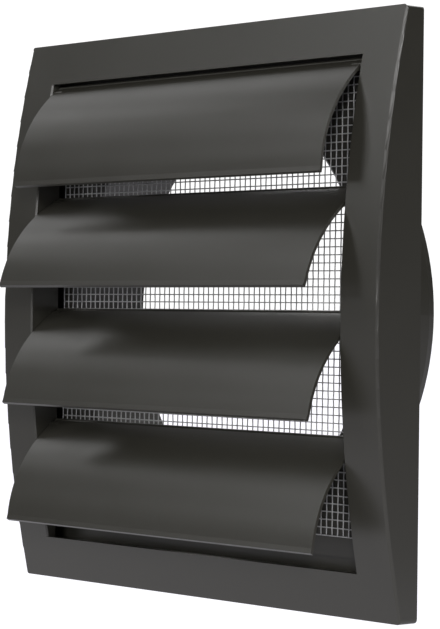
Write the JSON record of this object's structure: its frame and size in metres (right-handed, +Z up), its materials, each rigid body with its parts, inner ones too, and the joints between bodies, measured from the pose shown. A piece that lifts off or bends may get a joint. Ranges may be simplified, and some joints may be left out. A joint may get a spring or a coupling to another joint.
{
  "type": "vent hood",
  "caption": "Square wall vent with a bowed face, hinged curved gravity flaps over an insect screen, and a round duct spigot behind.",
  "frame": {"origin": "on the duct's axis in the plane of the wall, which the back of the frame and of the wall plate lie on", "axes": "the face looks along -Y, the spigot runs along +Y, +Z is up, and the hinges of the flaps run along X"},
  "size_m": [0.187, 0.0601, 0.187],
  "materials": {
    "frame": "satin moulded",
    "plate": "satin moulded",
    "screen": "plain woven wire",
    "flap": "satin moulded"
  },
  "bodies": {
    "housing": {"front_frame": "frame", "wall_plate": "plate", "insect_screen": "screen"},
    "flap_1": {"flap_1": "flap"},
    "flap_2": {"flap_2": "flap"},
    "flap_3": {"flap_3": "flap"},
    "flap_4": {"flap_4": "flap"}
  },
  "joints": [
    {"name": "flap_1_hinge", "type": "hinge", "parent": "housing", "child": "flap_1", "pos_m": [0, -0.0088, 0.0757], "axis": [-1, 0, 0], "range_deg": [-22.9, 26.1]},
    {"name": "flap_2_hinge", "type": "hinge", "parent": "housing", "child": "flap_2", "pos_m": [0, -0.0088, 0.03705], "axis": [-1, 0, 0], "range_deg": [-34.4, 14.6]},
    {"name": "flap_3_hinge", "type": "hinge", "parent": "housing", "child": "flap_3", "pos_m": [0, -0.0088, -0.0016], "axis": [-1, 0, 0], "range_deg": [-30.6, 18.4]},
    {"name": "flap_4_hinge", "type": "hinge", "parent": "housing", "child": "flap_4", "pos_m": [0, -0.0088, -0.04025], "axis": [-1, 0, 0], "range_deg": [-26, 23]}
  ]
}
